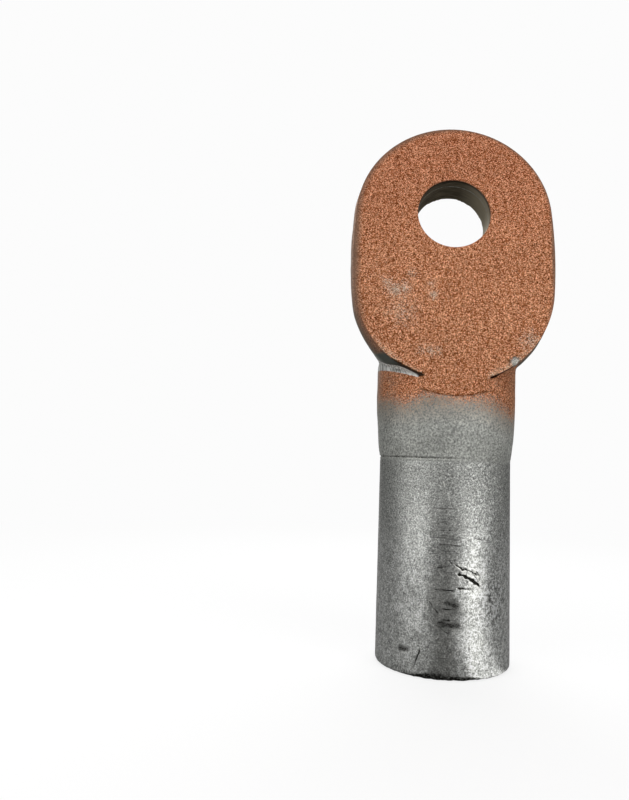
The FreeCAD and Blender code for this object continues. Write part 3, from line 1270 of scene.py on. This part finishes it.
    def measure_drift(self, skin: Finish) -> None:
        """Name how high a point lies in the drift of copper spray, and how thick that is there.

        It is thick near the run-out and thins down the neck.

        Args:
            skin: The finish that gets it.
        """
        at, add = skin.at, skin.add
        skin.name_all({
            "edge": Fade("aside", 2.0, 9.5, 47.9 * MM, 48.8 * MM),
            "edge_right": Fade("x", 4.0, 13.0, 1.6 * MM),
            "edge_left": Fade("x", -8.0, -13.0, 0.3 * MM),
            "facing": Fade("y", 2.0, -5.0, soft=False),
        })
        edge = add("Math", ("edge", "edge_right"), operation="SUBTRACT")
        edge = add("Math", (edge, "edge_left"), operation="ADD")
        at["above"] = add("Math", ("z", edge), operation="SUBTRACT")
        skin.name_all({"drift": Fade("above", -3.6, 2.0, soft=False)})
        at["patchy_drift"] = skin.uneven(skin.uneven("drift", "fine", 1.5), "mottle", 0.7)
        skin.name_all({"neck_spray": Fade("patchy_drift", 0.3, 0.95, unit=1)})

    def measure_strip(self, skin: Finish) -> None:
        """Name the strip beneath the palm's left wall, and the part of it that stayed bare.

        The palm's overhang kept the spray off it, down to a sloping line.

        Args:
            skin: The finish that gets it.
        """
        at, add = skin.at, skin.add
        skin.name_all({"sprayed_to": Fade("x", -6.3, -13.4, 54.2 * MM, 52.05 * MM, soft=False)})
        shaded = add("Math", (skin.uneven("z", "fine", 0.5 * MM), "sprayed_to"),
                     operation="GREATER_THAN")
        reach = add("Math", ("x", -1000.0, -8.5), operation="MULTIPLY_ADD")
        reach = add("Math", (reach, 0.0), operation="MAXIMUM")
        reach = add("Math", (skin.all_of(reach, reach), 0.28 * MM, 0.4 * MM),
                    operation="MULTIPLY_ADD")
        at["past_reach"] = add("Math", ("depth", reach), operation="SUBTRACT")
        skin.name_all({
            "past_wall": Fade("past_reach", -0.05, 0.1, soft=False),
            "left": Gate("x", "LESS_THAN", -5.6),
            "low": Fade("z", 57.0, 56.0, soft=False),
            "in_front": Fade("y", 0.5, -2.5, soft=False),
        })
        at["shade"] = skin.all_of(shaded, "left", "low")
        at["bare_strip"] = skin.all_of("shade", "past_wall", "in_front")

    def measure_spray(self, skin: Finish) -> None:
        """Name how far the spray covers the neck and the palm's wall.

        Args:
            skin: The finish that gets it.
        """
        at, add = skin.at, skin.add
        skin.name_all({
            "wall_spray": Fade("x", -14.0, 0.0, 3.2 * MM, 7.0 * MM, soft=False),
            "on_palm": Gate("z", "GREATER_THAN", 55.0),
            "off_strip": Gate("x", "GREATER_THAN", -5.6),
            "near_face": Gate("depth", "LESS_THAN", 3.0),
            "low_wall": Gate("along", "LESS_THAN", 4.5),
        })
        below = add("MapRange", ("depth", "wall_spray", 0.4 * MM, 0.0, 0.8))
        reach = add("Mix", {0: "on_palm", 2: "facing", 3: below})
        covered = skin.all_of("off_strip", "near_face", "low_wall")
        reach = add("Math", (reach, covered), operation="MAXIMUM")
        for taken in ("shade", "in_hole"):
            reach = add("Math", (reach, taken), operation="SUBTRACT", use_clamp=True)
        at["spray"] = add("Math", ("neck_spray", reach), operation="MULTIPLY", use_clamp=True)

    def spray_neck(self, skin: Finish, colour: bpy.types.NodeSocket) -> bpy.types.NodeSocket:
        """Lay the bare strip and the copper that drifted past the masked edge over the colour.

        Args:
            skin: The finish that gets it.
            colour: The colour under it.

        Returns:
            The colour with it on.
        """
        self.measure_drift(skin)
        self.measure_strip(skin)
        self.measure_spray(skin)
        skin.name_all({
            "strip_highlight": Fade("x", -11.0, -8.0, 0.6),
            "dust": Fade("above", -5.5, 0.0, 0.65),
            "dust_grains": Fade("grit", 0.4, 0.65, soft=False, unit=1),
            "on_neck": Gate("z", "LESS_THAN", 51.5),
        })
        # Under the left slit the metal is drawn bright, in fine streaks down the neck, and its
        # right part is whitened further as a painted highlight
        stops = ((0.36, self.streak_dark), (0.47, self.bar_grey), (0.56, self.streak_bright))
        streaks = skin.lay(
            skin.add("ValToRGB", ("streaks",), stops=stops), ("strip_highlight", self.streak_bright))
        dust = skin.all_of("dust", "dust_grains", "facing", "on_neck")
        copper, skin.at["splat_height"] = self.copper.splats(skin)
        copper = skin.lay(copper, (1.0, self.stray_bright), blend="MULTIPLY")
        copper = skin.lay(copper, (0.06, self.dusty))
        return skin.lay(colour, ("bare_strip", streaks), (dust, self.dusty), ("spray", copper))

    def paint_slit_shadows(self, skin: Finish, colour: bpy.types.NodeSocket) -> bpy.types.NodeSocket:
        """Lay thin lines of painted shadow under the right slit's corner and the run-out's step.

        Args:
            skin: The finish that gets it.
            colour: The colour under it.

        Returns:
            The colour with it on.
        """
        skin.name_all({
            "slit": Gate("from_end", "COMPARE", 18.93, 0.2),
            "under_corner": Gate("along", "LESS_THAN", 4.4),
            "right_wall": Gate("x", "GREATER_THAN", 5.3),
            "at_face": Gate("depth", "LESS_THAN", 0.9),
            "step": Gate("from_cutter", "COMPARE", 16.08, 0.12),
            "under_step": Gate("along", "LESS_THAN", -0.9),
            "near_step": Gate("depth", "LESS_THAN", 0.8),
        })
        # Both lines are painted shadow, in the slit's brown
        return skin.lay(
            colour, (skin.all_of("slit", "under_corner", "right_wall", "at_face"), self.slit_brown),
            (skin.all_of("step", "under_step", "near_step", 0.4), self.slit_brown))

    def make(self) -> bpy.types.Material:
        """Build the material, which reads Object coordinates and the stored wear.

        Returns:
            The material, which also reads the stored wear.
        """
        # Blasting left the grey dull and peppered, and the smoother turned barrel mirrors in bands
        material = bpy.data.materials.new("blasted_forged_aluminium")
        skin = Finish.start(material)
        add = skin.add
        skin.measure_palm()
        skin.name_all({
            "grit": Grain(self.grit, roughness=0.6),
            "fine": Grain(self.fine, roughness=0.6),
            "mottle": Grain(5.0, 3.0),
            "lumps": Grain(0.9, roughness=0.6),
            "coarse": Grain(0.42, roughness=0.65),
            "pits": Grain(0.6),
            # Lines and scratches are drawn 0.3 to 0.5 mm wide, wider than the real ones, to show
            "lines": Grain(roughness=0.7, a_metre=(170.0, 170.0, 2200.0)),
            "scratches": Grain(roughness=0.6, a_metre=(300.0, 300.0, 3200.0)),
            "streaks": Grain(a_metre=(3000.0, 3000.0, 250.0)),
        })
        colour = self.blast(skin)
        for coat in (self.handle_barrel, self.mark_barrel, self.drill_hole, self.paint_low_wall_shade,
                     self.spray_neck, self.paint_slit_shadows):
            colour = coat(skin, colour)
        bar_rough = add("Mix", {0: "handled", 2: self.bar_top_roughness, 3: self.bar_roughness})
        rough = add("Mix", {0: "on_bar", 2: self.head_roughness, 3: bar_rough})
        rough = skin.uneven(rough, "grit", 0.3)
        rough = add("Mix", {0: "in_hole", 2: rough, 3: self.hole_roughness})
        strength = add("Mix", {0: "on_bar", 2: 0.75, 3: 0.35})
        strength = add("Mix", {0: "spray", 2: strength, 3: 1.0})
        dimples = add("Mix", {0: "on_bar", 2: "grit", 3: "fine"})
        height = add("Mix", {0: "spray", 2: dimples, 3: "splat_height"})
        bump = add("Bump", {
            "Strength": strength, "Distance": self.relief * MM, "Height": height})
        shader = add("BsdfPrincipled", {
            "Base Color": Nick().strike(skin, colour, "grit"), "Metallic": 1.0,
            "Roughness": rough, "Normal": bump})
        add("OutputMaterial", {"Surface": shader}, None)
        return material


class Lamp(NamedTuple):
    """A soft lamp: its angle round from the contact side and above the horizon, size and watts."""

    name: str
    turn: float
    lift: float
    size: tuple[float, float]
    watts: float


@dataclass
class Studio:
    """Pale floor, white surroundings and soft lamps."""

    floor_size: float = 1400.0
    white: float = 0.973
    floor_glow: float = 0.765
    floor_colour: str = "#868686"
    near_colour: str = "#808080"
    overhead: float = 0.42
    room: tuple[tuple[float, float], ...] = (
        (-180, 0.973), (-174, 0.973), (-167, 0.03), (-125, 0.03), (-98, 0.12), (-62, 0.3),
        (-33, 0.23), (-18, 0.03), (4, 0.03), (16, 0.2), (32, 0.4), (60, 0.4), (86, 0.32),
        (106, 0.14), (130, 0.06), (156, 0.05), (166, 0.973), (180, 0.973),
    )
    lamp_distance: float = 420.0
    aim: float = 50.0
    lamps: tuple[Lamp, ...] = (
        Lamp("key_right", 43, 12, (200, 440), 0.39),
        Lamp("fill_left", -54, 12, (340, 440), 0.8),
        Lamp("top_front", 8, 50, (460, 340), 0.66),
        Lamp("top_back", 180, 48, (460, 340), 1.4),
    )

    def whiten(self, floor: Finish) -> bpy.types.NodeSocket:
        """Give where metal sees the floor white: well behind the clamp, and by the key lamp.

        Args:
            floor: The floor's finish.

        Returns:
            The share of white.
        """
        at, add = floor.at, floor.add
        floor.measure_turn()
        off_key = add("Math", ("turn", -0.7), operation="ADD")
        at["off_key"] = add("Math", (off_key,), operation="ABSOLUTE")
        at["off_front"] = add("Math", ("turn",), operation="ABSOLUTE")
        floor.name_all({
            "by_key": Fade("off_key", 0.48, 0.2, unit=1),
            "behind": Fade("y", 150.0, 400.0),
            "straight_behind": Fade("off_front", 2.55, 2.95, unit=1),
        })
        behind = floor.all_of("behind", "straight_behind")
        return add("Math", (behind, "by_key"), operation="MAXIMUM")

    def build_floor(self) -> bpy.types.Object:
        """Lay the pale floor, which fades into the white surroundings.

        Returns:
            The floor.
        """
        bpy.ops.object.select_all(action="DESELECT")
        bpy.ops.mesh.primitive_circle_add(
            vertices=96, radius=self.floor_size * MM, fill_type="TRIFAN")
        floor = bpy.context.object
        floor.name = "floor"
        material = bpy.data.materials.new("studio_floor")
        skin = Finish.start(material)
        add = skin.add
        skin.at["away"] = add("VectorMath", ("coords",), "Value", operation="LENGTH")
        skin.name_all({"far": Fade("away", 70.0, 260.0)})
        near_grey = skin.lay(self.near_colour, ("far", "#000000"))
        glow = add("MapRange", ("far", 0.0, 1.0, self.floor_glow, self.white))
        lit = add("BsdfDiffuse", {"Color": self.floor_colour})
        shadowed = add("BsdfDiffuse", {"Color": near_grey})
        plain = add("Emission", {"Color": "#FFFFFF", "Strength": glow})
        seen = add("AddShader", (shadowed, plain))
        path = add("LightPath", out=None)
        mirrored = add(
            "Math", (path["Is Glossy Ray"], path["Is Transmission Ray"]), operation="MAXIMUM")
        mirrored = skin.all_of(mirrored, self.whiten(skin))
        direct = add("Math", (path["Is Camera Ray"], mirrored), operation="MAXIMUM")
        both = add("MixShader", (direct, lit, seen))
        add("OutputMaterial", {"Surface": both}, None)
        floor.data.materials.append(material)
        return floor

    def build_world(self) -> None:
        """Make the surroundings: white behind and above, dimmer at the sides and the front."""
        world = bpy.data.worlds.new("studio")
        bpy.context.scene.world = world
        sky = Finish.start(world)
        sky.measure_turn()
        share = sky.add("MapRange", ("turn", -math.pi, math.pi))
        stops = tuple(((angle + 180) / 360, level) for angle, level in self.room)
        around = sky.add("ValToRGB", (share,), stops=stops)
        sky.name_all({"high": Fade("z", 0.35, 0.95, unit=1)})
        path = sky.add("LightPath", out=None)
        dim, white = ((level, level, level, 1.0) for level in (self.overhead, self.white))
        colour = sky.lay(around, ("high", dim), (path["Is Camera Ray"], white))
        shader = sky.add("Background", {"Color": colour, "Strength": 1.0})
        sky.add("OutputWorld", {"Surface": shader}, None)

    def hang_lamps(self) -> None:
        """Hang the soft lamps, which look at the clamp's middle."""
        for name, turn, lift, size, watts in self.lamps:
            a, e = math.radians(turn), math.radians(lift)
            back = Vector((math.sin(a) * math.cos(e), -math.cos(a) * math.cos(e), math.sin(e)))
            data = bpy.data.lights.new(name, "AREA")
            data.shape = "RECTANGLE"
            data.size, data.size_y = size[0] * MM, size[1] * MM
            data.energy = watts
            lamp = bpy.data.objects.new(name, data)
            lamp.location = (Vector((0, 0, self.aim)) + back * self.lamp_distance) * MM
            lamp.rotation_mode = "QUATERNION"
            lamp.rotation_quaternion = back.to_track_quat("Z", "Y")
            bpy.context.scene.collection.objects.link(lamp)

    def build(self) -> None:
        """Make floor, surroundings and lamps."""
        self.build_floor()
        self.build_world()
        self.hang_lamps()


@dataclass(frozen=True)
class PhotoCamera:
    """The camera, at the place and with the framing of the reference view."""

    place: tuple[float, float, float] = (-19.82, -134.29, 37.68)
    look: tuple[float, float, float] = (-0.00404, 0.99214, 0.12505)
    up: tuple[float, float, float] = (-0.03394, -0.12512, 0.99156)
    focal_pixels: float = 681.9
    centre_pixels: tuple[float, float] = (343.0, 368.9)
    frame_pixels: tuple[int, int] = (629, 800)
    sensor: float = 36.0

    def build(self) -> bpy.types.Object:
        """Make the camera and look through it.

        Returns:
            The camera.
        """
        width, height = self.frame_pixels
        data = bpy.data.cameras.new("camera")
        data.sensor_width = self.sensor
        data.lens = self.focal_pixels / height * self.sensor
        data.shift_x = -(self.centre_pixels[0] - width / 2) / height
        data.shift_y = (self.centre_pixels[1] - height / 2) / height
        data.clip_start, data.clip_end = 0.005, 20
        look = Vector(self.look).normalized()
        right = look.cross(Vector(self.up)).normalized()
        up = right.cross(look)
        camera = bpy.data.objects.new("camera", data)
        turn = Matrix((right, up, -look)).transposed().to_4x4()
        camera.matrix_world = Matrix.Translation(Vector(self.place) * MM) @ turn
        bpy.context.scene.collection.objects.link(camera)
        bpy.context.scene.camera = camera
        return camera


def main() -> None:
    """Build the camera, the studio and the dressed clamp, and report each piece."""
    logging.basicConfig(level=logging.INFO, format="%(name)s: %(message)s")
    bpy.context.scene.view_settings.view_transform = "Standard"
    PhotoCamera().build()
    Studio().build()
    log.info("camera and studio are ready")

    forged = ForgedBody().build(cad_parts["clamp_body"])
    forged.data.materials.append(BlastedForging().make())
    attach(forged, "root")
    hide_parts("clamp_body")
    log.info("%s: %d faces", forged.name, len(forged.data.polygons))

    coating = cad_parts["copper_coating"]
    coating.data.materials.clear()
    coating.data.materials.append(SprayedCopper().make())
    log.info("%s: %d faces", coating.name, len(coating.data.polygons))


if __name__ == "__main__":
    main()
